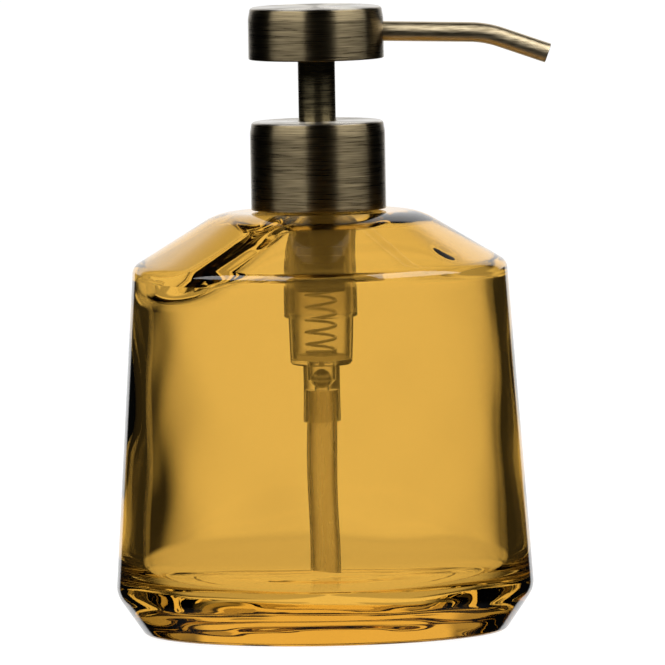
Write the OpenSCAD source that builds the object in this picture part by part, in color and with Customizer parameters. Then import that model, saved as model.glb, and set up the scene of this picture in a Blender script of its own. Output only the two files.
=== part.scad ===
// Soap pump dispenser: a heavy round glass bottle with a screw-on two-ball lotion pump.
// Millimetres, +Z up. The origin is the centre of the face that the bottle stands on.
// The spout points along +X at rest.

/* [Bottle] */
// Widest diameter, where the side meets the foot bevel
bottle_d = 99.1; // [82:0.1:119]
// Height from the table to the flat crown round the neck
bottle_h = 100; // [82:0.5:120]
// How much the side draws in from the widest line up to the shoulder, on radius
side_taper = 5.2; // [2:0.1:9]
// Height of the widest line
belly_z = 9.8; // [7:0.1:13]
// How much the foot bevel draws in below the widest line, on radius
foot_bevel = 6.8; // [3:0.1:10]
// Height of the sloping shoulder
shoulder_h = 12.6; // [9:0.1:16]
// Width of the flat crown outside the collar
crown_w = 7.7; // [5:0.1:10]
// Glass thickness at the shoulder
wall_top = 3.3; // [2.4:0.1:4.5]
// Glass thickness at the widest line
wall_low = 5.2; // [3.5:0.1:7]
// Glass thickness of the floor
floor_t = 9.6; // [7:0.1:12]
// Glass thickness under the crown
crown_t = 3.8; // [3:0.1:5]
// Depth of the hollow under the bottle
punt_h = 0.8; // [0.4:0.1:1.5]
// Width of the ring that the bottle stands on
stand_w = 9; // [5:0.5:14]

/* [Neck] */
// Glass thickness of the neck at the thread's root
neck_wall = 1.9; // [1.6:0.1:2.6]
// Gap between the neck's bore and the pump
neck_gap = 2.15; // [1:0.05:3.5]
// Height of the neck above the crown
neck_h = 10.5; // [9:0.1:13]
// Advance of the thread in one turn
thread_pitch = 4.233; // [3.6:0.001:5]
// How far the thread stands out of the neck
thread_h = 1.15; // [0.8:0.05:1.4]
// Height of the thread's ridge at its root
thread_w = 1.9; // [1.5:0.1:2.2]

/* [Closure] */
// Height of the collar
collar_h = 20.9; // [20:0.1:25]
// Wall of the threaded insert at the thread's root
insert_wall = 1.12; // [0.9:0.01:1.6]
// Sheet thickness of the collar and of the head's shell
shell_t = 0.9; // [0.6:0.1:1.2]
// Gap between the collar and the crown
collar_gap = 0.4; // [0.3:0.1:1]
// Thickness of the neck gasket
gasket_t = 1; // [0.6:0.1:1.6]
// Thickness of the pump housing's flange
flange_t = 1.5; // [1.2:0.1:2]
// Thickness of the web inside the threaded insert
web_t = 1.7; // [1.2:0.1:2]

/* [Pump] */
// Travel of the plunger
stroke = 14; // [11:0.1:16.8]
// Diameter of the bore that the piston runs in
bore_d = 12; // [11:0.1:14.4]
// Wall of the bore's upper part
bore_wall = 1.05; // [0.8:0.05:1.3]
// Air gap between the bore's wall and the upper sleeve
vent_gap = 0.55; // [0.4:0.05:0.8]
// Wall of the upper sleeve
sleeve_wall = 0.85; // [0.7:0.05:1.1]
// Wall of the barrel below the upper sleeve
barrel_wall = 1.45; // [1.2:0.05:1.7]
// Height of the barrel below the upper sleeve
step_h = 10; // [8:0.1:12]
// Depth of the guide bush below the neck's rim
guide_len = 21.2; // [18:0.1:25]
// Outer diameter of the dip tube
dip_d = 7.1; // [5.9:0.1:8.5]
// Wall of the dip tube
dip_wall = 0.9; // [0.6:0.1:1.2]
// Gap between the dip tube's end and the bottle's floor
dip_gap = 1.8; // [1:0.1:4]
// Wall of the housing's foot round the dip tube
foot_wall = 0.87; // [0.7:0.01:1.2]
// Length of the housing's foot
foot_len = 13.8; // [11:0.1:17]
// Diameter of the inlet ball
inlet_ball_d = 4.76; // [4:0.01:5.2]
// Lift of each ball off its seat
ball_lift = 1.2; // [0.8:0.1:1.4]
// Wire of the return spring
wire_d = 0.7; // [0.5:0.05:0.75]
// Open turns of the return spring
spring_turns = 6.5; // [5:0.5:7]

/* [Plunger] */
// Length of the piston
piston_len = 6.4; // [5:0.1:8]
// Width of the piston between its seat and the bore
piston_w = 0.95; // [0.8:0.05:1.2]
// Diameter of the outlet ball
outlet_ball_d = 3.8; // [3.2:0.1:4.6]
// Wall of the spigot that joins the piston's seat to the stem
spigot_wall = 0.45; // [0.4:0.05:0.6]
// Wall of the stem round the spigot
stem_wall = 0.55; // [0.4:0.05:0.7]
// Wall of the metal tube round the stem
tube_wall = 1.1; // [0.6:0.05:1.3]

/* [Head] */
// Diameter of the head
head_d = 32.1; // [26.8:0.1:38.6]
// Height of the head
head_h = 12.3; // [10.5:0.1:15]
// Gap left between head and collar when pressed
head_rest_gap = 0.8; // [0.4:0.1:2]
// Diameter of the boss inside the head
boss_d = 14; // [12:0.1:16]

/* [Spout] */
// Outer diameter of the spout
spout_d = 4.7; // [4:0.1:5.4]
// Wall of the spout
spout_wall = 0.7; // [0.5:0.1:0.9]
// Distance from the pump's axis to the spout's bend
spout_reach = 40.2; // [33:0.1:48]
// Length of the spout's tip past the bend
spout_tip = 15.6; // [10:0.1:22]
// Angle of the bend
spout_bend = 18; // [8:1:40]
// Slope of the spout before its bend
spout_droop = 1.6; // [0:0.1:4]
// How far the spout's axis lies above the middle of the head
spout_up = 0.5; // [0:0.1:1]
// Radius of the bend on the tube's centre line
bend_r = 12; // [8:0.5:20]

/* [Fits] */
// Radial clearance of parts that slide or turn in each other
running = 0.05; // [0.03:0.01:0.08]
// Radial clearance of parts that are pushed together
push_fit = 0.03; // [0.02:0.01:0.05]
// Clearance where nothing is to touch
free = 0.3; // [0.25:0.05:0.4]

/* [Hidden] */
$fn = 96;

// Colours
amber = [0.85, 0.56, 0.16];
brass = [0.42, 0.36, 0.26];
clear_plastic = [0.88, 0.86, 0.80];
dark_plastic = [0.16, 0.12, 0.09];
white_plastic = [0.93, 0.92, 0.88];
rubber = [0.30, 0.29, 0.27];
steel = [0.75, 0.75, 0.76];

// Round pieces nest outward from the pump's bore: barrel, sleeve, neck, insert, collar
bore_r = bore_d / 2;
barrel_r = bore_r + barrel_wall;
sleeve_bore_r = bore_r + bore_wall + vent_gap;
sleeve_r = sleeve_bore_r + sleeve_wall;
neck_bore_r = sleeve_r + neck_gap;
neck_r = neck_bore_r + neck_wall;
insert_bore_r = neck_r + thread_h + free;
insert_r = insert_bore_r + insert_wall;
collar_r = insert_r + push_fit + shell_t;

// Bottle outline, each radius and height at the sharp corner before rounding
belly_r = bottle_d / 2;
base_r = belly_r - foot_bevel;
shoulder_r = belly_r - side_taper;
shoulder_z = bottle_h - shoulder_h;
crown_r = collar_r + crown_w;
neck_top = bottle_h + neck_h;
lip_round = 0.6;
crown_round = 14;
shoulder_round = 3;
belly_round = 6;
foot_round = 2;
cavity_floor_round = 8;
cavity_crown_round = 9;
mouth_round = 2.5;
// The cavity's shoulder runs parallel to the outer one
shoulder_angle = atan2(shoulder_h, shoulder_r - crown_r);
cone_drop = wall_top / cos(shoulder_angle);
cavity_crown_z = bottle_h - crown_t;
cavity_crown_r = crown_r - (cone_drop - crown_t) / tan(shoulder_angle);
cavity_shoulder_r = shoulder_r - wall_top;
cavity_shoulder_z = shoulder_z - cone_drop + wall_top * tan(shoulder_angle);
cavity_floor_r = belly_r - wall_low;

// Neck thread: how far round it goes, and how its ends fade
thread_turn = 360;
thread_step = 10;
thread_fade = 40;
thread_crest_w = 0.9;
thread_sunk = 0.4;
thread_z = neck_top - lip_round - 0.1 - thread_w / 2 - thread_pitch;
// The insert's thread starts further round, half a pitch under the neck's
insert_thread_start = 70;
insert_thread_h = thread_h - 0.1;
insert_thread_w = thread_w - 0.2;
insert_thread_z = thread_z + thread_pitch * (insert_thread_start / 360 - 0.5);

// Stack on the neck
turn_gap = 0.15;
flange_z = neck_top + gasket_t;
flange_top = flange_z + flange_t;
flange_r = neck_r + 0.1;
gasket_r = neck_r + 0.3;
gasket_bore_r = sleeve_r + 0.2;
web_z = flange_top + turn_gap;
web_top = web_z + web_t;
collar_bottom = bottle_h + collar_gap;
collar_top = collar_bottom + collar_h;
collar_round = 0.9;
hem_round = 0.3;
insert_bottom = collar_bottom + 0.4;
insert_top = collar_top - shell_t - 0.1;
insert_rim_w = 1.4;

// Stem and the pieces round it nest outward from the outlet ball
outlet_r = outlet_ball_d / 2;
stem_bore_r = outlet_r + free;
spigot_r = stem_bore_r + spigot_wall;
stem_r = spigot_r + stem_wall;
tube_bore_r = stem_r + 0.1;
tube_r = tube_bore_r + tube_wall;
tube_hole_r = tube_r + free + running;

// Guide bush
guide_r = bore_r - push_fit;
guide_bore_r = tube_r + running;
guide_flange_z = web_top + turn_gap;
guide_flange_t = 1.3;
guide_flange_r = guide_r + 3.5;
guide_top = collar_top - shell_t - 0.2;
guide_bottom = flange_z - guide_len;
guide_lip_t = 1.7;
guide_lip_top = guide_bottom + guide_lip_t;
web_hole_r = guide_r + 0.6;

// Plunger, from the stop under the guide bush downward
stop_gap = 0.2;
band_t = 2;
lip_t = 0.8;
play = 0.1;
piston_r = bore_r - running;
piston_lip = 1.6;
piston_waist = 0.35;
skirt_r = piston_r - piston_w - running;
skirt_wall = 0.8;
cup_r = skirt_r - skirt_wall;
cup_depth = 5.7;
band_r = bore_r - 0.5;
band_top = guide_bottom - stop_gap;
band_z = band_top - band_t;
piston_top = band_z - play;
piston_z = piston_top - piston_len;
lip_top = piston_z - play;
plunger_z = lip_top - lip_t;
cup_top = plunger_z + cup_depth;

// Ball valves: each ball rests on a 45 degree cone, a little above the throat's edge
seat_land = 0.2;
seat_gap = 0.05;
spigot_top = band_z + 5;
outlet_seat_r = outlet_r * cos(45) - seat_land;
outlet_seat_z = spigot_top - stem_bore_r + outlet_seat_r;
outlet_ball_z = outlet_seat_z - outlet_seat_r + outlet_r * sqrt(2) + seat_gap;
outlet_cage_z = outlet_ball_z + outlet_r + ball_lift + 0.1;
outlet_cage_h = 3;
cage_w = 0.8;

// Chamber and foot of the housing
bottom_room = 2.3;
chamber_floor = plunger_z - stroke - bottom_room;
chamber_floor_t = 1.2;
barrel_bottom = chamber_floor - chamber_floor_t;
sleeve_z = chamber_floor + step_h;
dip_r = dip_d / 2;
foot_r = dip_r + push_fit + foot_wall;
foot_bottom = barrel_bottom - foot_len;
vent_r = 0.5;
vent_z = guide_lip_top + 7;

// Inlet valve in the foot
inlet_r = inlet_ball_d / 2;
inlet_bore_r = inlet_r + 0.5;
inlet_seat_r = inlet_r * cos(45) - seat_land;
inlet_seat_z = barrel_bottom - 5.3;
inlet_ball_z = inlet_seat_z - inlet_seat_r + inlet_r * sqrt(2) + seat_gap;
socket_top = inlet_seat_z - 0.8;
dip_bottom = floor_t + dip_gap;
dip_top = socket_top - 0.2;
dip_bevel = 2;

// Spring and spring seat
seat_t = 1.2;
spring_z = chamber_floor + seat_t;
spring_len = cup_top - spring_z;
coil_r = cup_r - 0.35 - wire_d / 2;
seat_hole_r = coil_r - wire_d / 2 - 0.55;
seat_pin_r = 0.7;
seat_pin_z = inlet_ball_z + inlet_r + ball_lift + 0.1;
spoke_w = 1;
wire_sides = 8;
wire_step = 18;
closed_turns = 1;
closed_pitch = wire_d + 0.03;

// Spout
spout_r = spout_d / 2;
spout_bore_r = spout_r - spout_wall;
boss_r = boss_d / 2;
spout_root = boss_r;
bend_tangent = bend_r * tan(spout_bend / 2);
spout_run = spout_reach / cos(spout_droop) - bend_tangent - spout_root;
tip_len = spout_tip - bend_tangent;

// Head
head_r = head_d / 2;
head_bottom = collar_top + stroke + head_rest_gap;
head_top = head_bottom + head_h;
head_round = 1;
head_top_t = 1.2;
head_bore_r = head_r - shell_t;
head_base_t = 0.8;
spout_z = head_bottom + head_h / 2 + spout_up;
boss_top = head_top - head_top_t - free;
arm_r = spout_r + 1.3;
arm_end = sqrt(pow(head_bore_r, 2) - pow(arm_r, 2)) - free;
stem_top = spout_z - spout_bore_r - 0.8;
tube_top = stem_top - 0.8;
tube_bottom = guide_lip_top + stroke + 0.8;

// Points of the arc that rounds the corner b between a and c with radius r
function round_at(a, b, c, r, n = 8) =
    let (u = (a - b) / norm(a - b),
         v = (c - b) / norm(c - b),
         half = acos(max(-1, min(1, u * v))) / 2,
         t = r / tan(half),
         m = (u + v) / norm(u + v),
         o = b + m * r / sin(half),
         p = b + u * t - o,
         q = b + v * t - o,
         a0 = atan2(p[1], p[0]),
         turn = atan2(p[0] * q[1] - p[1] * q[0], p * q))
    [for (i = [0 : n]) o + r * [cos(a0 + turn * i / n), sin(a0 + turn * i / n)]];

// Outline from [radius, height, rounding] corners
function outline(corners) =
    [for (i = [0 : len(corners) - 1])
        let (k = len(corners),
             a = corners[(i + k - 1) % k],
             b = corners[i],
             c = corners[(i + 1) % k])
        each b[2] > 0
            ? round_at([a[0], a[1]], [b[0], b[1]], [c[0], c[1]], b[2])
            : [[b[0], b[1]]]];

module lathe(corners) {
    rotate_extrude() polygon(outline(corners));
}

// Hollow cylinder
module ring(r_out, r_in, z0, z1) {
    difference() {
        translate([0, 0, z0]) cylinder(r = r_out, h = z1 - z0);
        translate([0, 0, z0 - 1]) cylinder(r = r_in, h = z1 - z0 + 2);
    }
}

// Closed faces of a sweep of `rings` rings with `sides` points each
function sweep_faces(rings, sides) = concat(
    [[for (j = [sides - 1 : -1 : 0]) j]],
    [for (i = [0 : rings - 2], j = [0 : sides - 1])
        let (k = (j + 1) % sides)
        each [[i * sides + j, i * sides + k, (i + 1) * sides + j],
              [i * sides + k, (i + 1) * sides + k, (i + 1) * sides + j]]],
    [[for (j = [0 : sides - 1]) (rings - 1) * sides + j]]);

// Share of its full height that a thread has at angle a of a turn
function fade(a) = min(1, min(a, thread_turn - a) / thread_fade);

// Helical ridge on a wall of radius wall_r that stands `height` outward, or inward if it is negative
module ridge(wall_r, height, z0, start, root_w) {
    sunk_r = wall_r - sign(height) * thread_sunk;
    steps = thread_turn / thread_step;
    rings = [for (i = [0 : steps])
        let (a = i * thread_step,
             f = max(0.02, fade(a)),
             z = z0 + thread_pitch * a / 360,
             crest_r = sunk_r + (height + sign(height) * thread_sunk) * f,
             low = [[sunk_r, z - root_w / 2], [crest_r, z - thread_crest_w / 2]],
             high = [[crest_r, z + thread_crest_w / 2], [sunk_r, z + root_w / 2]],
             around = height > 0 ? concat(low, high) : concat([low[1], low[0]], [high[1], high[0]]))
        [for (p = around) [p[0] * cos(start + a), p[0] * sin(start + a), p[1]]]];
    polyhedron(points = [for (r = rings, p = r) p], faces = sweep_faces(len(rings), 4));
}

module bottle() {
    color(amber, 0.7) difference() {
        union() {
            lathe([
                [0, punt_h, 0],
                [base_r - foot_round - stand_w, punt_h, 0],
                [base_r - foot_round - stand_w + punt_h, 0, 0],
                [base_r, 0, foot_round],
                [belly_r, belly_z, belly_round],
                [shoulder_r, shoulder_z, shoulder_round],
                [crown_r, bottle_h, crown_round],
                [neck_r, bottle_h, 0],
                [neck_r, neck_top, lip_round],
                [0, neck_top, 0]]);
            ridge(neck_r, thread_h, thread_z, 0, thread_w);
        }
        lathe([
            [0, floor_t, 0],
            [cavity_floor_r, floor_t, cavity_floor_round],
            [cavity_shoulder_r, cavity_shoulder_z, shoulder_round],
            [cavity_crown_r, cavity_crown_z, cavity_crown_round],
            [neck_bore_r, cavity_crown_z, mouth_round],
            [neck_bore_r, neck_top + 1, 0],
            [0, neck_top + 1, 0]]);
    }
}

module neck_gasket() {
    color(rubber) ring(gasket_r, gasket_bore_r, neck_top, flange_z);
}

module pump_housing() {
    color(clear_plastic, 0.6) difference() {
        lathe([
            [0, foot_bottom, 0],
            [foot_r, foot_bottom, 0.3],
            [foot_r, barrel_bottom, 0],
            [barrel_r, barrel_bottom, 0.9],
            [barrel_r, sleeve_z, 0],
            [sleeve_r, sleeve_z, 0.4],
            [sleeve_r, flange_z, 0],
            [flange_r, flange_z, 0],
            [flange_r, flange_top, 0],
            [0, flange_top, 0]]);
        // working bore
        translate([0, 0, chamber_floor]) cylinder(r = bore_r, h = flange_top - chamber_floor + 1);
        // the gap between the bore's wall and the upper sleeve, open at the top
        ring(sleeve_bore_r, bore_r + bore_wall, sleeve_z + 1, flange_top + 1);
        // inlet valve: chamber, seat and throat
        translate([0, 0, inlet_seat_z + inlet_bore_r - inlet_seat_r])
            cylinder(r = inlet_bore_r, h = chamber_floor);
        translate([0, 0, inlet_seat_z])
            cylinder(r1 = inlet_seat_r, r2 = inlet_bore_r, h = inlet_bore_r - inlet_seat_r);
        translate([0, 0, foot_bottom - 1]) cylinder(r = inlet_seat_r, h = inlet_seat_z - foot_bottom + 1.01);
        // dip tube's socket
        translate([0, 0, foot_bottom - 1]) cylinder(r = dip_r + push_fit, h = socket_top - foot_bottom + 1);
        // air vent through both walls
        translate([0, 0, vent_z]) rotate([0, 90, 0]) cylinder(r = vent_r, h = 2 * sleeve_r);
    }
}

module guide_bush() {
    color(dark_plastic) difference() {
        lathe([
            [0, guide_bottom, 0],
            [guide_r, guide_bottom, 0],
            [guide_r, guide_flange_z, 0],
            [guide_flange_r, guide_flange_z, 0],
            [guide_flange_r, guide_flange_z + guide_flange_t, 0.4],
            [guide_r, guide_flange_z + guide_flange_t, 0],
            [guide_r, guide_top, 0.4],
            [0, guide_top, 0]]);
        translate([0, 0, guide_bottom - 1]) cylinder(r = stem_r + running, h = guide_lip_t + 2);
        translate([0, 0, guide_lip_top]) cylinder(r = guide_bore_r, h = guide_top);
        // the vent's way in
        translate([0, 0, vent_z]) rotate([0, 90, 0]) cylinder(r = vent_r, h = 2 * guide_r);
    }
}

module spring_seat() {
    color(white_plastic) {
        ring(bore_r - push_fit, seat_hole_r, chamber_floor, spring_z);
        for (a = [0, 90])
            rotate([0, 0, a]) translate([-seat_hole_r - 0.2, -spoke_w / 2, chamber_floor])
                cube([2 * seat_hole_r + 0.4, spoke_w, seat_t]);
        translate([0, 0, seat_pin_z]) cylinder(r = seat_pin_r, h = spring_z - seat_pin_z);
    }
}

module inlet_ball() {
    color(steel) translate([0, 0, inlet_ball_z]) sphere(r = inlet_r);
}

module outlet_ball() {
    color(steel) translate([0, 0, outlet_ball_z]) sphere(r = outlet_r);
}

module dip_tube() {
    color(clear_plastic, 0.6) difference() {
        ring(dip_r, dip_r - dip_wall, dip_bottom, dip_top);
        // slanted end, so that it can't close on the floor
        translate([0, 0, dip_bottom + dip_bevel / 2])
            rotate([0, atan2(dip_bevel, dip_d), 0])
                translate([-dip_d, -dip_d, -2 * dip_bevel]) cube([2 * dip_d, 2 * dip_d, 2 * dip_bevel]);
    }
}

// Height of the spring's wire after t turns: closed turns at both ends, open ones between them
function coil_z(t) =
    let (all = spring_turns + 2 * closed_turns,
         open_pitch = (spring_len - wire_d - 2 * closed_turns * closed_pitch) / spring_turns)
    t < closed_turns ? t * closed_pitch
    : t > all - closed_turns ? spring_len - wire_d - (all - t) * closed_pitch
    : closed_turns * closed_pitch + (t - closed_turns) * open_pitch;

module return_spring() {
    steps = ceil((spring_turns + 2 * closed_turns) * 360 / wire_step);
    points = [for (i = [0 : steps], j = [0 : wire_sides - 1])
        let (t = (spring_turns + 2 * closed_turns) * i / steps,
             a = 360 * t,
             b = 360 * j / wire_sides,
             r = coil_r + wire_d / 2 * cos(b))
        [r * cos(a), r * sin(a), spring_z + wire_d / 2 + coil_z(t) + wire_d / 2 * sin(b)]];
    color(steel) polyhedron(points = points, faces = sweep_faces(steps + 1, wire_sides));
}

module collar_shell() {
    color(brass) difference() {
        lathe([
            [0, collar_bottom, 0],
            [collar_r, collar_bottom, hem_round],
            [collar_r, collar_top, collar_round],
            [0, collar_top, 0]]);
        translate([0, 0, collar_bottom - 1])
            cylinder(r = collar_r - shell_t, h = collar_h - shell_t + 1);
        translate([0, 0, collar_bottom]) cylinder(r = tube_hole_r, h = collar_h + 1);
    }
}

module collar_insert() {
    color(dark_plastic) union() {
        difference() {
            translate([0, 0, insert_bottom]) cylinder(r = insert_r, h = insert_top - insert_bottom);
            translate([0, 0, insert_bottom - 1]) cylinder(r = insert_bore_r, h = web_z - insert_bottom + 1);
            translate([0, 0, web_top]) cylinder(r = insert_r - insert_rim_w, h = collar_h);
            translate([0, 0, insert_bottom]) cylinder(r = web_hole_r, h = collar_h);
        }
        ridge(insert_bore_r, -insert_thread_h, insert_thread_z, insert_thread_start, insert_thread_w);
    }
}

module piston() {
    waist_r = piston_r - piston_waist;
    color(dark_plastic) difference() {
        lathe([
            [0, piston_z, 0],
            [piston_r, piston_z, 0.2],
            [piston_r, piston_z + piston_lip, 0],
            [waist_r, piston_z + piston_lip + piston_waist, 0],
            [waist_r, piston_top - piston_lip - piston_waist, 0],
            [piston_r, piston_top - piston_lip, 0],
            [piston_r, piston_top, 0.2],
            [0, piston_top, 0]]);
        translate([0, 0, piston_z - 1]) cylinder(r = skirt_r + running, h = piston_len + 2);
    }
}

module stem() {
    color(dark_plastic) difference() {
        lathe([
            [0, band_z, 0],
            [band_r, band_z, 0],
            [band_r, band_top, 0.3],
            [stem_r, band_top, 0],
            [stem_r, stem_top, 0],
            [0, stem_top, 0]]);
        translate([0, 0, band_z - 1]) cylinder(r = spigot_r + push_fit, h = spigot_top - band_z + 1);
        translate([0, 0, band_z]) cylinder(r = stem_bore_r, h = stem_top);
    }
}

module piston_seat() {
    color(dark_plastic) difference() {
        lathe([
            [0, plunger_z, 0],
            [band_r, plunger_z, 0.3],
            [band_r, lip_top, 0],
            [skirt_r, lip_top, 0],
            [skirt_r, band_z, 0],
            [spigot_r, band_z, 0],
            [spigot_r, spigot_top, 0],
            [0, spigot_top, 0]]);
        translate([0, 0, plunger_z - 1]) cylinder(r = cup_r, h = cup_depth + 1);
        translate([0, 0, plunger_z]) cylinder(r = outlet_seat_r, h = spigot_top);
        translate([0, 0, outlet_seat_z])
            cylinder(r1 = outlet_seat_r, r2 = stem_bore_r, h = stem_bore_r - outlet_seat_r);
    }
}

module outlet_cage() {
    r = stem_bore_r - push_fit;
    color(white_plastic) intersection() {
        translate([0, 0, outlet_cage_z]) cylinder(r = r, h = outlet_cage_h);
        union() {
            for (a = [0, 90])
                rotate([0, 0, a]) translate([-r, -cage_w / 2, outlet_cage_z]) cube([2 * r, cage_w, outlet_cage_h]);
        }
    }
}

module stem_tube() {
    color(brass) ring(tube_r, tube_bore_r, tube_bottom, tube_top);
}

// Puts what is drawn along +X from the pump's axis on the spout's sloping line
module on_spout_line() {
    translate([0, 0, spout_z]) rotate([0, spout_droop, 0]) children();
}

module rod_x(r, x0, x1) {
    translate([x0, 0, 0]) rotate([0, 90, 0]) cylinder(r = r, h = x1 - x0);
}

module head_boss() {
    color(dark_plastic) difference() {
        union() {
            translate([0, 0, head_bottom + head_base_t])
                cylinder(r = boss_r, h = boss_top - head_bottom - head_base_t);
            on_spout_line() rod_x(arm_r, 0, arm_end);
        }
        translate([0, 0, head_bottom]) cylinder(r = tube_r + push_fit, h = tube_top - head_bottom);
        translate([0, 0, head_bottom]) cylinder(r = stem_r + push_fit, h = stem_top - head_bottom);
        translate([0, 0, stem_top - 1]) cylinder(r = stem_bore_r, h = spout_z - stem_top + 1);
        on_spout_line() {
            rod_x(spout_bore_r, 0, boss_r);
            rod_x(spout_r + push_fit, spout_root, head_r);
        }
    }
}

module head_shell() {
    color(brass) difference() {
        lathe([
            [0, head_bottom, 0],
            [head_r, head_bottom, hem_round],
            [head_r, head_top, head_round],
            [0, head_top, 0]]);
        translate([0, 0, head_bottom - 1]) cylinder(r = head_bore_r, h = head_h - head_top_t + 1);
        on_spout_line() rod_x(spout_r + push_fit, boss_r, head_r + 2);
    }
}

module head_base() {
    color(brass) ring(head_bore_r - push_fit, tube_r + push_fit, head_bottom + hem_round, head_bottom + head_base_t);
}

// Rod of radius r along the spout's centre line, drawn longer at both ends by `extra`
module spout_rod(r, extra) {
    rod_x(r, spout_root - extra, spout_root + spout_run);
    translate([spout_root + spout_run, 0, 0]) {
        translate([0, 0, -bend_r]) rotate([-90, -90, 0])
            rotate_extrude(angle = spout_bend) translate([bend_r, 0]) circle(r = r);
        translate([bend_r * sin(spout_bend), 0, bend_r * (cos(spout_bend) - 1)])
            rotate([0, 90 + spout_bend, 0]) cylinder(r = r, h = tip_len + extra);
    }
}

module spout() {
    color(brass) on_spout_line() difference() {
        spout_rod(spout_r, 0);
        spout_rod(spout_bore_r, 1);
    }
}

bottle();
neck_gasket();
pump_housing();
guide_bush();
spring_seat();
inlet_ball();
dip_tube();
return_spring();
collar_shell();
collar_insert();
piston();
stem();
piston_seat();
outlet_ball();
outlet_cage();
stem_tube();
head_boss();
head_shell();
head_base();
spout();
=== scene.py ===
import math
import bpy
import numpy as np
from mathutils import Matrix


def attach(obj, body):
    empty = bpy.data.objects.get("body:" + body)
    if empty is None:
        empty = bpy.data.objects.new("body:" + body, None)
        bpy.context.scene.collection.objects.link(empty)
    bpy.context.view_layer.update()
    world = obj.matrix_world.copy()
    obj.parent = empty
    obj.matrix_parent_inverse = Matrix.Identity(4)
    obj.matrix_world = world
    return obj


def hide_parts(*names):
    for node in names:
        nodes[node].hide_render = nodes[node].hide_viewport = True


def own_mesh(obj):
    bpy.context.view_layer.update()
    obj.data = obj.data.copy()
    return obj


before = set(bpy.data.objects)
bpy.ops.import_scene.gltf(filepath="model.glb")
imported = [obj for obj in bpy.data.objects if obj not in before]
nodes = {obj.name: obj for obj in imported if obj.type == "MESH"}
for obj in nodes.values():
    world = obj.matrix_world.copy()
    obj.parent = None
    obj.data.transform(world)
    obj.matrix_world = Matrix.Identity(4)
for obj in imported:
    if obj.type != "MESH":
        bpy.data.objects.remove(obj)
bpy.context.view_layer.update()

MM = 0.001


# ---- Bottle
# Heavy pressed glass, stained amber on its outside: a thick floor on a standing ring, a bevelled foot, a
# side that draws in towards the sloping shoulder, and a plain neck. The inside wall is uneven.

def rounded(corners, steps=8):
    """Outline through [radius, height, fillet] corners: corner b becomes the arc o + f (cos t, sin t),
    with o = b + m f / sin(h), where m is the unit bisector of its two sides and h half their angle."""
    spots = np.array(corners, float)[:, :2]
    outline = []
    for i, (_, _, fillet) in enumerate(corners):
        a, b, c = spots[i - 1], spots[i], spots[(i + 1) % len(spots)]
        if fillet == 0:
            outline.append(b[None])
            continue
        u = (a - b) / np.linalg.norm(a - b)
        v = (c - b) / np.linalg.norm(c - b)
        half = math.acos(u @ v) / 2
        centre = b + (u + v) / np.linalg.norm(u + v) * fillet / math.sin(half)
        p = b + u * fillet / math.tan(half) - centre
        q = b + v * fillet / math.tan(half) - centre
        start = math.atan2(p[1], p[0])
        turn = math.atan2(p[0] * q[1] - p[1] * q[0], p @ q)
        t = start + turn * np.linspace(0, 1, steps + 1)
        outline.append(centre + fillet * np.stack([np.cos(t), np.sin(t)], 1))
    return np.vstack(outline)


def spaced(outline, step):
    """The same outline with a + (b - a) k / n added between neighbours a and b, at most `step` apart."""
    stretches = []
    for a, b in zip(outline[:-1], outline[1:]):
        count = max(1, math.ceil(np.linalg.norm(b - a) / step))
        share = np.arange(count)[:, None] / count
        stretches.append(a + (b - a) * share)
    stretches.append(outline[-1:])
    return np.vstack(stretches)


def skin(name, points, ends, crease=35):
    """Mesh over points[row, column], in metres. Columns close round. With ends "loop" the rows close too;
    with ends "poles" the first and the last row are one point each. UV is (row, column) as shares."""
    rows, columns = points.shape[:2]
    index = np.arange(rows * columns).reshape(rows, columns)
    if ends == "poles":
        index[0] = index[0, 0]
        index[-1] = index[-1, 0]
    used, index = np.unique(index, return_inverse=True)
    index = index.reshape(rows, columns)
    above = np.roll(index, -1, 0)
    quads = np.stack([index, np.roll(index, -1, 1), np.roll(above, -1, 1), above], -1)
    row, column = np.meshgrid(np.arange(rows), np.arange(columns), indexing="ij")
    along = np.stack([row, row, row + 1, row + 1], -1) / rows
    around = np.stack([column, column + 1, column + 1, column], -1) / columns
    uv = np.stack([along, around], -1)
    if ends == "poles":
        faces = quads[1:-2].reshape(-1, 4).tolist()
        faces += quads[0][:, [0, 2, 3]].tolist() + quads[-2][:, [0, 1, 2]].tolist()
        shares = [uv[1:-2].reshape(-1, 2), uv[0][:, [0, 2, 3]].reshape(-1, 2), uv[-2][:, :3].reshape(-1, 2)]
    else:
        faces = quads.reshape(-1, 4).tolist()
        shares = [uv.reshape(-1, 2)]
    mesh = bpy.data.meshes.new(name)
    mesh.from_pydata(points.reshape(-1, 3)[used].tolist(), [], faces)
    mesh.uv_layers.new(name="brush").data.foreach_set("uv", np.vstack(shares).ravel())
    mesh.shade_smooth()
    mesh.set_sharp_from_angle(angle=math.radians(crease))
    piece = bpy.data.objects.new(name, mesh)
    bpy.context.scene.collection.objects.link(piece)
    return piece


def lathe(name, outline, turns, uneven=None):
    """Outline [radius, height] in mm turned about Z: (r cos t, r sin t, z). An outline that runs from the
    axis to the axis gets poles, any other closes on itself. uneven(t, r, z) in mm is added along the
    outline's outward normal (dz, -dr)."""
    t = 2 * np.pi * np.arange(turns) / turns
    radius, height = outline[:, :1], outline[:, 1:]
    on_axis = outline[0, 0] == 0 and outline[-1, 0] == 0
    if uneven is None:
        radius, height = radius + 0 * t, height + 0 * t
    else:
        slope = np.gradient(outline, axis=0)
        slope /= np.maximum(np.linalg.norm(slope, axis=1, keepdims=True), 1e-9)
        stand = uneven(t, radius, height)
        if on_axis:
            stand[[0, -1]] = 0
        radius = radius + slope[:, 1:] * stand
        height = height - slope[:, :1] * stand
    points = np.stack([radius * np.cos(t), radius * np.sin(t), height], -1) * MM
    return skin(name, points, "poles" if on_axis else "loop")


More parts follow.
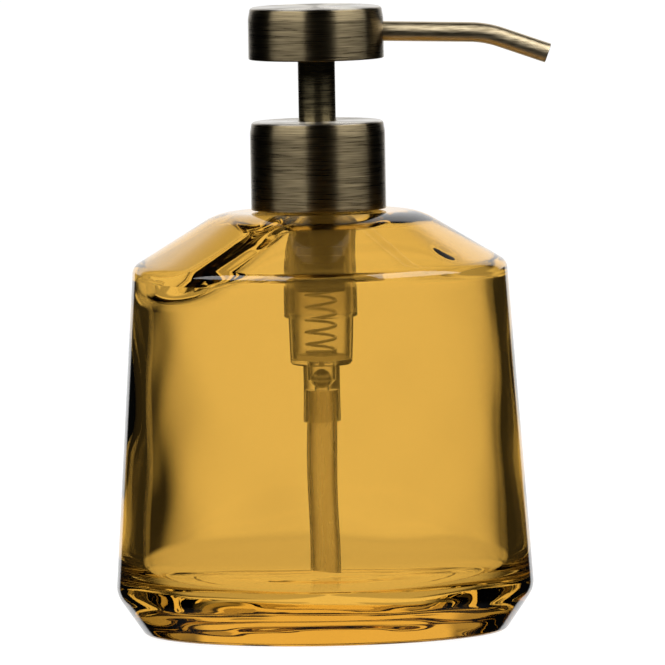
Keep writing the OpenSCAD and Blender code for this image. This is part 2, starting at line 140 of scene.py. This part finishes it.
def wired(tree, kind, inputs, **settings):
    """New node of a kind with its settings. Each input, by name or number, takes a value or is linked to
    the socket given for it. Returns the node."""
    node = tree.nodes.new(kind)
    for key, value in settings.items():
        setattr(node, key, value)
    for key, value in inputs.items():
        if isinstance(value, bpy.types.NodeSocket):
            tree.links.new(value, node.inputs[key])
        else:
            node.inputs[key].default_value = value
    return node


def maths(tree, operation, *values):
    """Result of one operation on numbers or sockets."""
    return wired(tree, "ShaderNodeMath", dict(enumerate(values)), operation=operation).outputs[0]


def finish_of(name, colour, roughness, **sockets):
    """New material with a Principled shader, its sockets set; returns the material, nodes and shader."""
    material = bpy.data.materials.new(name)
    material.use_nodes = True
    tree = material.node_tree
    shader = tree.nodes["Principled BSDF"]
    shader.inputs["Base Color"].default_value = (*colour, 1)
    shader.inputs["Roughness"].default_value = roughness
    for socket, value in sockets.items():
        shader.inputs[socket.replace("_", " ")].default_value = value
    return material, tree, shader


def cloudy(tree, scale, detail=3.0, stretch=(1, 1, 1)):
    """Noise value on Object coordinates, `scale` patches to the metre, times `stretch` on each axis."""
    place = wired(tree, "ShaderNodeTexCoord", {})
    mapping = wired(tree, "ShaderNodeMapping", {"Vector": place.outputs["Object"], "Scale": stretch})
    noise = wired(tree, "ShaderNodeTexNoise",
                  {"Vector": mapping.outputs["Vector"], "Scale": scale, "Detail": detail})
    return noise.outputs["Fac"]


def ranged(tree, value, low, high, start=0.3, stop=0.7):
    """value from start..stop spread over low..high."""
    spread = {"Value": value, "From Min": start, "From Max": stop, "To Min": low, "To Max": high}
    return wired(tree, "ShaderNodeMapRange", spread).outputs["Result"]


def ripple(tree, shader, value, depth):
    """Bump on the shader from value, `depth` metres from its lowest to its highest."""
    bump = wired(tree, "ShaderNodeBump", {"Height": value, "Strength": 1, "Distance": depth})
    tree.links.new(bump.outputs["Normal"], shader.inputs["Normal"])


def tinted(tree, shader, value, dark, light):
    """Base colour from dark to light over value 0..1."""
    ramp = wired(tree, "ShaderNodeValToRGB", {"Fac": value})
    ramp.color_ramp.elements[0].color = (*dark, 1)
    ramp.color_ramp.elements[1].color = (*light, 1)
    tree.links.new(ramp.outputs["Color"], shader.inputs["Base Color"])


belly_r, belly_z, base_r = 49.55, 9.8, 42.75
shoulder_r, shoulder_z = 44.35, 87.4
crown_r, crown_z = 23.7, 100
neck_r, neck_top, bore_r = 12.5, 110.5, 10.6
ring_r, punt_z = 31.75, 0.8
hollow_r, floor_z = 44.35, 9.6
hollow_shoulder_r, hollow_shoulder_z = 41.05, 85.55
ceiling_r, ceiling_z = 23.59, 96.2
lip = 0.6
row_step, rim_step, turns = 1.6, 0.3, 320

glass_outside = rounded([
    [0, punt_z, 0],
    [ring_r, punt_z, 0],
    [ring_r + punt_z, 0, 0],
    [base_r, 0, 2],
    [belly_r, belly_z, 6],
    [shoulder_r, shoulder_z, 3],
    [crown_r, crown_z, 14],
    [neck_r, crown_z, 0],
    [neck_r, neck_top, lip],
    [bore_r, neck_top, lip]])
glass_inside = rounded([
    [bore_r, neck_top - 1, 0],
    [bore_r, ceiling_z, 2.5],
    [ceiling_r, ceiling_z, 9],
    [hollow_shoulder_r, hollow_shoulder_z, 3],
    [hollow_r, floor_z, 8],
    [0, floor_z, 0]])
outside_rows = spaced(glass_outside, row_step)
outside_rows = outside_rows[outside_rows[:, 1] <= crown_z]
rim_rows = spaced(glass_outside[glass_outside[:, 1] > crown_z], rim_step)
glass_outline = np.vstack([outside_rows, rim_rows, spaced(glass_inside, row_step)])
inside_from = len(outside_rows) + len(rim_rows)


def bell(value, middle, width):
    """exp(-((value - middle) / width)^2)."""
    return np.exp(-((value - middle) / width) ** 2)


def glass_uneven(t, r, z):
    """Extra glass in mm on the inside wall: waves 0.09 sin(2 t + z / 17) + 0.05 sin(5 t - z / 9)
    + 0.03 sin(9 t + z / 5); a bell-shaped swelling low in the side; a bell-shaped fold that leans a degree
    to the mm up the shoulder, and a small dimple across from it; and on the floor the marks of the press,
    0.12 sin(r / 2.6) + 0.05 sin(y / 3.7 + 1.5 sin(x / 15)). It fades out towards the bore."""
    wave = 0.09 * np.sin(2 * t + z / 17) + 0.05 * np.sin(5 * t - z / 9) + 0.03 * np.sin(9 * t + z / 5)
    swell = 0.35 * bell(t, np.pi, 0.5) * bell(z, 46, 26) * (r > 38)
    fold_at = math.radians(215) + math.radians(1) * (z - 85)
    fold = 4 * bell(t, fold_at, 0.28) * np.clip((z - 80) / 5, 0, 1)
    dimple = 0.4 * bell(t, math.radians(324), 0.06) * bell(z, 89, 1.2) * (z > 80)
    x, y = r * np.cos(t), r * np.sin(t)
    press = (0.12 * np.sin(r / 2.6) + 0.05 * np.sin(y / 3.7 + 1.5 * np.sin(x / 15))) * (z < 12)
    row = np.arange(len(r))[:, None]
    inside = (row > inside_from) * np.clip((r - bore_r) / 8, 0, 1)
    return (wave + swell + fold + dimple + press) * inside


bottle_glass = lathe("bottle_glass", glass_outline, turns, glass_uneven)
stain, clear = (0.9, 0.52, 0.093), (0.98, 0.97, 0.95)
amber, tree, shader = finish_of("amber_glass", (0.89, 0.5, 0.09), 0.0, Transmission_Weight=1, IOR=1.5)
profile = wired(tree, "ShaderNodeUVMap", {}, uv_map="brush")
along = wired(tree, "ShaderNodeSeparateXYZ", {"Vector": profile.outputs["UV"]})
inside_share, edge_share = inside_from / len(glass_outline), 0.002
inner = ranged(tree, along.outputs["X"], 0, 1, inside_share - edge_share, inside_share + edge_share)
tinted(tree, shader, inner, stain, clear)
ripple(tree, shader, cloudy(tree, 28, 1.0), 0.00012)
tree.links.new(ranged(tree, cloudy(tree, 90), 0.0, 0.012), shader.inputs["Roughness"])
depth_tint = wired(tree, "ShaderNodeVolumeAbsorption", {"Color": (0.95, 0.75, 0.15, 1), "Density": 11})
tree.links.new(depth_tint.outputs["Volume"], tree.nodes["Material Output"].inputs["Volume"])
bottle_glass.data.materials.append(amber)
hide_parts("bottle")
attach(bottle_glass, "bottle")


# ---- Neck gasket
# Flat ring cut from grey rubber sheet, squeezed between the neck's rim and the pump's flange.
rubber, tree, shader = finish_of("gasket_rubber", (0.07, 0.068, 0.062), 0.75)
speckle = cloudy(tree, 1800, 4)
tinted(tree, shader, speckle, (0.05, 0.048, 0.044), (0.1, 0.096, 0.09))
ripple(tree, shader, speckle, 0.00003)
nodes["neck_gasket"].material_slots[0].material = rubber


# ---- Pump housing
# Moulded natural polypropylene, milky and see-through: a wide sleeve hung from the flange, the barrel
# that the piston runs in, and the foot that holds the inlet valve and grips the dip tube.
flange_r, flange_z, housing_top = 12.6, 111.5, 113
sleeve_r, sleeve_bore, sleeve_z = 8.45, 7.6, 74.4
barrel_r, barrel_top_r, barrel_z = 7.45, 7.05, 63.2
chamber_r, chamber_z, gap_z = 6, 64.4, 75.4
cup_r, cup_z, seat_r, seat_z = 2.88, 59.58, 1.483, 57.9
foot_r, socket_r, socket_top, foot_z = 4.45, 3.58, 57.1, 49.4
housing_outline = rounded([
    [sleeve_r, housing_top, 0],
    [sleeve_bore, housing_top, 0],
    [sleeve_bore, gap_z, 0],
    [barrel_top_r, gap_z, 0],
    [barrel_top_r, housing_top, 0],
    [chamber_r, housing_top, 0],
    [chamber_r, chamber_z, 0.4],
    [cup_r, chamber_z, 0.3],
    [cup_r, cup_z, 0],
    [seat_r, seat_z, 0],
    [seat_r, socket_top, 0],
    [socket_r, socket_top, 0],
    [socket_r, foot_z, 0],
    [foot_r, foot_z, 0.3],
    [foot_r, barrel_z, 0],
    [barrel_r, barrel_z, 0.9],
    [barrel_r, sleeve_z, 0],
    [sleeve_r, sleeve_z, 0.4],
    [sleeve_r, flange_z, 0],
    [flange_r, flange_z, 0],
    [flange_r, housing_top, 0]])
housing_outline = spaced(np.vstack([housing_outline, housing_outline[:1]]), 2.5)[:-1]
pump_housing = lathe("pump_housing_wall", housing_outline, 96)
milky, tree, shader = finish_of("natural_polypropylene", (0.96, 0.94, 0.9), 0.18,
                                Transmission_Weight=0.91, IOR=1.22)
haze = cloudy(tree, 700, 2)
tree.links.new(ranged(tree, haze, 0.15, 0.21), shader.inputs["Roughness"])
ripple(tree, shader, cloudy(tree, 320, 1), 0.00001)
pump_housing.data.materials.append(milky)
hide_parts("pump_housing")
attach(pump_housing, "pump")


# ---- Guide bush, stem, piston and its seat, head boss and threaded insert
# Dark brown polypropylene mouldings with a fine satin skin. They slide and snap into each other.
dark, tree, shader = finish_of("dark_polypropylene", (0.02, 0.013, 0.008), 0.4)
skin_noise = cloudy(tree, 1200, 3)
tinted(tree, shader, skin_noise, (0.014, 0.009, 0.006), (0.03, 0.02, 0.012))
tree.links.new(ranged(tree, skin_noise, 0.34, 0.5), shader.inputs["Roughness"])
ripple(tree, shader, skin_noise, 0.00002)
for name in ("guide_bush", "stem", "piston", "piston_seat", "head_boss", "collar_insert"):
    nodes[name].material_slots[0].material = dark


# ---- Spring seat and outlet cage
# White polyethylene mouldings that hold the spring up and keep the outlet ball in.
white, tree, shader = finish_of("white_polyethylene", (0.75, 0.73, 0.68), 0.5)
skin_noise = cloudy(tree, 900, 3)
tinted(tree, shader, skin_noise, (0.7, 0.68, 0.62), (0.8, 0.79, 0.75))
ripple(tree, shader, skin_noise, 0.00002)
for name in ("spring_seat", "outlet_cage"):
    nodes[name].material_slots[0].material = white


# ---- Valve balls
# Polished stainless bearing balls that rest on their cones and lift when liquid comes up.
bright, tree, shader = finish_of("stainless", (0.75, 0.75, 0.74), 0.3, Metallic=1)
drawn = cloudy(tree, 900, 3)
tree.links.new(ranged(tree, drawn, 0.25, 0.4), shader.inputs["Roughness"])
ripple(tree, shader, drawn, 0.00001)
for name in ("inlet_ball", "outlet_ball"):
    nodes[name].material_slots[0].material = bright


# ---- Return spring
# Stainless wire wound with one closed turn at each end, between its seat and the plunger's cup.
wire_r, coil_r, spring_z, spring_len = 0.35, 3.45, 65.6, 20.8
open_turns, closed_turns, closed_pitch = 6.5, 1, 0.73
turns_all = open_turns + 2 * closed_turns
open_pitch = (spring_len - 2 * wire_r - 2 * closed_turns * closed_pitch) / open_turns


def coil_height(turn):
    """Height of the wire after a number of turns: closed ones, open ones and closed ones, each linear."""
    knots = [0, closed_turns, turns_all - closed_turns, turns_all]
    open_top = closed_turns * closed_pitch + open_turns * open_pitch
    heights = [0, closed_turns * closed_pitch, open_top, open_top + closed_turns * closed_pitch]
    return np.interp(turn, knots, heights)


turn = np.linspace(0, turns_all, int(turns_all * 44) + 1)
turn = np.r_[0, turn, turns_all][:, None]
thick = np.full(turn.shape, wire_r)
thick[[0, -1]] = 0
across = 2 * np.pi * np.arange(12) / 12
reach = coil_r + thick * np.cos(across)
coil = np.stack([
    reach * np.cos(2 * np.pi * turn),
    reach * np.sin(2 * np.pi * turn),
    spring_z + wire_r + coil_height(turn) - thick * np.sin(across)], -1) * MM
return_spring = skin("return_spring_wire", coil, "poles")
return_spring.data.materials.append(bright)
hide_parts("return_spring")
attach(return_spring, "pump")
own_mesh(return_spring)


# ---- Dip tube
# Extruded natural polyethylene tube pushed into the housing's foot, cut on a slant at its lower end.
dip_r, dip_wall, dip_bottom, dip_top, dip_bevel = 3.55, 0.9, 11.4, 56.9, 2
dip_outline = rounded([
    [dip_r - dip_wall, dip_top, 0],
    [dip_r - dip_wall, dip_bottom, 0.15],
    [dip_r, dip_bottom, 0.15],
    [dip_r, dip_top, 0]], 3)
dip_outline = spaced(np.vstack([dip_outline, dip_outline[:1]]), 2)[:-1]
t = 2 * np.pi * np.arange(72) / 72
r, z = dip_outline[:, :1], dip_outline[:, 1:]
slant = (dip_bevel / 2 - dip_bevel / 2 * np.cos(t) * r / dip_r) * np.clip(1 - (z - dip_bottom) / 8, 0, 1)
dip_tube = skin("dip_tube_wall", np.stack([r * np.cos(t), r * np.sin(t), z + slant], -1) * MM, "loop")
tubing, tree, shader = finish_of("natural_polyethylene", (0.93, 0.9, 0.85), 0.25,
                                 Transmission_Weight=0.88, IOR=1.3)
drag = cloudy(tree, 60, 3, (12, 12, 1))
tree.links.new(ranged(tree, drag, 0.2, 0.34), shader.inputs["Roughness"])
ripple(tree, shader, drag, 0.00003)
dip_tube.data.materials.append(tubing)
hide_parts("dip_tube")
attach(dip_tube, "pump")


# ---- Collar
# Cap drawn from brass sheet, brushed round its axis and darkened, pressed over the threaded insert.

def antique_brass(name, dark, light, roughness, anisotropy, stretch, depth):
    """Darkened brass: brush lines are the mean of two noises stretched by `stretch`, in colour, roughness
    and bump. The tangent is the brush UV's first axis, so the gloss spreads across the lines."""
    material, tree, shader = finish_of(name, (0.3, 0.25, 0.17), roughness, Metallic=1,
                                       Anisotropic=anisotropy)
    fine = cloudy(tree, 1.0, 1.0, stretch)
    broad = cloudy(tree, 0.7, 1.0, stretch)
    lines = maths(tree, "MULTIPLY", maths(tree, "ADD", fine, broad), 0.5)
    faint, strong = 0.36, 0.64
    tinted(tree, shader, ranged(tree, lines, 0, 1, faint, strong), dark, light)
    tree.links.new(ranged(tree, lines, roughness * 0.8, roughness * 1.2, faint, strong),
                   shader.inputs["Roughness"])
    ripple(tree, shader, lines, depth)
    tangent = wired(tree, "ShaderNodeTangent", {}, direction_type="UV_MAP", uv_map="brush")
    tree.links.new(tangent.outputs["Tangent"], shader.inputs["Tangent"])
    return material


def turned_ring(name, corners, node, body, material):
    """A brushed ring turned about Z that stands for one CAD node and rides on its body."""
    outline = rounded(corners)
    outline = spaced(np.vstack([outline, outline[:1]]), 1.0)[:-1]
    piece = lathe(name, outline, 256)
    piece.data.materials.append(material)
    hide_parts(node)
    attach(piece, body)


brushed = antique_brass("antique_brass_brushed", (0.12, 0.094, 0.053), (0.28, 0.225, 0.13),
                        0.33, 0.95, (160, 160, 6200), 0.000004)
collar_r, collar_z, collar_top, sheet = 16, 100.4, 121.3, 0.9
hole_r = 4.75
turned_ring("collar_cap", [
    [collar_r - sheet, collar_top - sheet, 0.3],
    [collar_r - sheet, collar_z, 0.2],
    [collar_r, collar_z, 0.3],
    [collar_r, collar_top - 2.6, 5],
    [collar_r - 0.45, collar_top, 0.8],
    [hole_r, collar_top, 0.2],
    [hole_r, collar_top - sheet, 0]], "collar_shell", "collar", brushed)


# ---- Stem tube
# Thick drawn brass tube pushed over the plastic stem, brushed round like the collar.
plated = antique_brass("antique_brass_plated", (0.17, 0.14, 0.075), (0.24, 0.2, 0.11),
                       0.3, 0.4, (160, 160, 6200), 0.000002)
stem_r, stem_bore, stem_z, stem_top = 4.4, 3.3, 106.8, 139.5
turned_ring("stem_sleeve", [
    [stem_bore, stem_top, 0],
    [stem_bore, stem_z, 0.2],
    [stem_r, stem_z, 0.2],
    [stem_r, stem_top, 0.1]], "stem_tube", "plunger", plated)


# ---- Head
# Drawn brass cap over a plastic boss, closed underneath with a brass plate. The tops of the head and of
# the collar get a painted highlight: their colour turns paler along their edges.
head_r, head_z, head_top, crown_sheet = 16.05, 136.1, 148.4, 1.2
plate_r, plate_hole, plate_z, plate_top = 15.12, 4.43, 136.4, 136.9


def painted_rim_highlight(material, colour, tops, depth):
    """Painted highlight: the material's colour turned to a paler one within depth of each top's height z,
    by the greatest of the products of a ramp up from top - depth and a ramp down to top + depth, in metres."""
    tree = material.node_tree
    shader = tree.nodes["Principled BSDF"]
    lines = shader.inputs["Base Color"].links[0].from_socket
    place = wired(tree, "ShaderNodeTexCoord", {})
    height = wired(tree, "ShaderNodeSeparateXYZ", {"Vector": place.outputs["Object"]}).outputs["Z"]
    bands = []
    for top in tops:
        above = ranged(tree, height, 0, 1, top - depth, top - depth / 3)
        below = ranged(tree, height, 1, 0, top + depth / 3, top + depth)
        bands.append(maths(tree, "MULTIPLY", above, below))
    # Mask of the painted rim highlight.
    rim_highlight = maths(tree, "MAXIMUM", *bands)
    mix = wired(tree, "ShaderNodeMix", {"Factor": rim_highlight, "A": lines, "B": (*colour, 1)}, data_type="RGBA")
    tree.links.new(mix.outputs["Result"], shader.inputs["Base Color"])


# Painted highlight: a pale cream colour along the top rims of the collar and the head, standing in for
# light on them.
painted_rim_highlight(brushed, (0.66, 0.62, 0.55), (collar_top * MM, head_top * MM), 0.0004)
cap_outline = spaced(rounded([
    [0, head_top - crown_sheet, 0],
    [head_r - sheet, head_top - crown_sheet, 0.3],
    [head_r - sheet, head_z, 0.2],
    [head_r, head_z, 0.3],
    [head_r, head_top - 2.8, 5],
    [head_r - 0.5, head_top, 0.9],
    [0, head_top, 0]]), 1.0)
head_cap = lathe("head_cap", cap_outline, 256)
head_cap.data.materials.append(brushed)
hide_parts("head_shell")
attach(head_cap, "plunger")
turned_ring("head_plate", [
    [plate_hole, plate_top, 0],
    [plate_hole, plate_z, 0.1],
    [plate_r, plate_z, 0.1],
    [plate_r, plate_top, 0]], "head_base", "plunger", brushed)


# ---- Spout
# Thin brass tube that leaves the head with a slight droop and bends down near its tip.
spout_r, spout_bore, spout_z, root_x = 2.35, 1.65, 142.75, 7
droop, bend, bend_radius = math.radians(1.6), math.radians(18), 24
elbow_x, tip_length = 40.2, 15.6
bend_tangent = bend_radius * math.tan(bend / 2)
run = elbow_x / math.cos(droop) - bend_tangent - root_x
arc = bend_radius * bend
tip = tip_length - bend_tangent
reach = run + arc + tip


def spout_line(s):
    """Centre line and its slope after a length s: straight at the droop, then an arc about a point below
    it, c + R (sin a, cos a), then straight at droop + bend. Returns x, z and the angle below level."""
    turned = np.clip((s - run) / arc, 0, 1) * bend
    x = root_x + np.minimum(s, run) + bend_radius * np.sin(turned)
    z = bend_radius * (np.cos(turned) - 1)
    past = np.maximum(s - run - arc, 0)
    x = x + past * math.cos(bend)
    z = z - past * math.sin(bend)
    level_x = x * math.cos(droop) + z * math.sin(droop)
    level_z = spout_z - x * math.sin(droop) + z * math.cos(droop)
    return level_x, level_z, turned + droop


spout_outline = rounded([
    [spout_bore, 0, 0],
    [spout_r, 0, 0.1],
    [spout_r, reach, 0.2],
    [spout_bore, reach, 0.15]], 4)
spout_outline = spaced(np.vstack([spout_outline, spout_outline[:1]]), 0.8)[:-1]
t = 2 * np.pi * np.arange(64) / 64
r, s = spout_outline[:, :1], spout_outline[:, 1:]
x, z, slope = spout_line(s)
tube = np.stack([
    x + r * np.sin(slope) * np.sin(t),
    r * np.cos(t),
    z + r * np.cos(slope) * np.sin(t)], -1) * MM
spout = skin("spout_tube", tube, "loop")
# Painted light: the spout's brass is a much paler copy of the head's darkened brass, so the thin tube shows
# brightly lit; its rougher satin finish is its own.
satin_lit_brass = antique_brass("antique_brass_satin_painted_light", (0.54, 0.43, 0.26), (0.75, 0.63, 0.42),
                      0.42, 0.6, (300, 2500, 2500), 0.000005)
spout.data.materials.append(satin_lit_brass)
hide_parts("spout")
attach(spout, "plunger")


# ---- Studio
# Pale floor, and a dark room with a white sweep behind, which the metal mirrors. Seen through the glass
# the sweep is narrower, between dark flags, and the camera itself sees white. Two tall softboxes at the
# front left and front right draw the bands on the metal.
floor_half, floor_drop = 6.0, 0.0005
floor_mesh = bpy.data.meshes.new("studio_floor")
floor_mesh.from_pydata([
    (-floor_half, -floor_half, -floor_drop),
    (floor_half, -floor_half, -floor_drop),
    (floor_half, floor_half, -floor_drop),
    (-floor_half, floor_half, -floor_drop)], [], [(0, 1, 2, 3)])
floor = bpy.data.objects.new("studio_floor", floor_mesh)
bpy.context.scene.collection.objects.link(floor)
pale, tree, shader = finish_of("pale_floor", (0.1, 0.1, 0.1), 0.9)
shader.inputs["Emission Color"].default_value = (1, 1, 1, 1)
shader.inputs["Emission Strength"].default_value = 0.97
floor_mesh.materials.append(pale)
floor.visible_glossy = False
floor.visible_transmission = False

world = bpy.data.worlds.new("studio")
bpy.context.scene.world = world
world.use_nodes = True
tree = world.node_tree
tree.nodes.clear()


def mask(value, start, stop):
    """Smooth step of value from 0 at start to 1 at stop."""
    step = {"Value": value, "From Min": start, "From Max": stop}
    return wired(tree, "ShaderNodeMapRange", step, interpolation_type="SMOOTHSTEP").outputs["Result"]


def sector(angle, start, stop):
    """The same smooth step over an angle, from start to stop in degrees."""
    return mask(angle, math.radians(start), math.radians(stop))


def both(one, other):
    """Product of two masks, which is 1 where both are."""
    return maths(tree, "MULTIPLY", one, other)


def blended(share, low, high):
    """low + (high - low) share."""
    return maths(tree, "MULTIPLY_ADD", share, maths(tree, "SUBTRACT", high, low), low)


# A direction's angle round Z from +Y, towards +X with its sign and without, and how far it points up.
where = wired(tree, "ShaderNodeTexCoord", {})
parts = wired(tree, "ShaderNodeSeparateXYZ", {"Vector": where.outputs["Generated"]})
east, north, up = parts.outputs["X"], parts.outputs["Y"], parts.outputs["Z"]
round_back = maths(tree, "ARCTAN2", east, north)
off_back = maths(tree, "ARCTAN2", maths(tree, "ABSOLUTE", east), north)
path = wired(tree, "ShaderNodeLightPath", {})

# The metal mirrors a dark room with the sweep in it, wider above level, and a dim floor.
sweep = both(sector(off_back, 22, 18), mask(up, 0.9, 0.7))
over_back = both(both(sector(off_back, 38, 30), mask(up, 0.0, 0.06)), mask(up, 0.7, 0.4))
dark_room = blended(over_back, blended(sweep, 0.006, 1.0), 1.0)
on_metal = blended(mask(up, -0.5, -0.8), dark_room, 0.12)

# Light mirrored inside the glass comes from a narrow sweep, wide above level, or from the gloom beside it.
narrow = both(sector(round_back, -10, -6), sector(round_back, 12, 8))
wide = sector(off_back, 34, 28)
glass_sweep = blended(mask(up, 0.0, 0.06), narrow, wide)
gloom = blended(mask(up, 0.0, 0.25), 0.035, 0.5)
gloom = blended(mask(up, -0.45, -0.65), gloom, 0.6)
in_glass = blended(glass_sweep, gloom, 1.0)
mirrored = blended(path.outputs["Is Transmission Ray"], on_metal, in_glass)

# Straight through the glass the sweep shows between dark flags, with white walls beyond and the floor.
from_left = sector(round_back, -15, -3)
from_right = blended(mask(up, -0.02, 0.08), sector(round_back, 26, 9), 1.0)
ahead = both(from_left, from_right)
far_side = both(sector(round_back, 34, 42), mask(up, 0.0, 0.1))
beyond = sector(off_back, 44, 56)
level = blended(beyond, blended(far_side, blended(ahead, 0.03, 1.0), 0.9), 0.95)
through = blended(mask(up, -0.09, -0.14), level, 0.8)
unmirrored = maths(tree, "LESS_THAN", path.outputs["Glossy Depth"], 0.5)
clear_way = both(unmirrored, path.outputs["Is Transmission Ray"])

seen = blended(clear_way, mirrored, through)
seen = blended(path.outputs["Is Camera Ray"], seen, 1.0)
background = wired(tree, "ShaderNodeBackground", {"Color": seen})
wired(tree, "ShaderNodeOutputWorld", {"Surface": background.outputs[0]})


def softbox(name, azimuth, wide, low, high, distance, radiance):
    """Upright white panel from low to high metres, `distance` metres from the axis at an azimuth from -Y
    towards +X, `wide` degrees across. Its power is radiance times pi times its area."""
    light = bpy.data.lights.new(name, "AREA")
    light.shape = "RECTANGLE"
    light.size = 2 * distance * math.tan(math.radians(wide / 2))
    light.size_y = high - low
    light.energy = radiance * math.pi * light.size * light.size_y
    panel = bpy.data.objects.new(name, light)
    bpy.context.scene.collection.objects.link(panel)
    turn = math.radians(azimuth)
    panel.location = (distance * math.sin(turn), -distance * math.cos(turn), (low + high) / 2)
    panel.rotation_euler = (math.radians(90), 0, turn)
    panel.visible_camera = False
    panel.visible_transmission = False


softbox("softbox_left", -54, 66, 0.5, 1.9, 1.1, 4.4)
softbox("softbox_right", 68, 62, 0.5, 1.9, 1.1, 4.4)

# Long lens, a little above level, turned a hair about its own axis. `field` is the width it takes in.
aim = np.array([0.00273, 0, 0.071])
distance, elevation, roll = 4.0, math.radians(3.85), math.radians(-1.0)
field, sensor = 0.1576, 36
lens = bpy.data.cameras.new("camera")
lens.sensor_width = sensor
lens.lens = sensor * distance / field
lens.clip_end = 50
camera = bpy.data.objects.new("camera", lens)
bpy.context.scene.collection.objects.link(camera)
camera.location = aim + distance * np.array([0, -math.cos(elevation), math.sin(elevation)])
camera.rotation_euler = (math.pi / 2 - elevation, 0, 0)
camera.rotation_euler.rotate_axis("Z", roll)
bpy.context.scene.camera = camera
bpy.context.scene.view_settings.view_transform = "Standard"
bpy.context.scene.cycles.max_bounces = 20
bpy.context.scene.cycles.glossy_bounces = 12
bpy.context.scene.cycles.transmission_bounces = 20
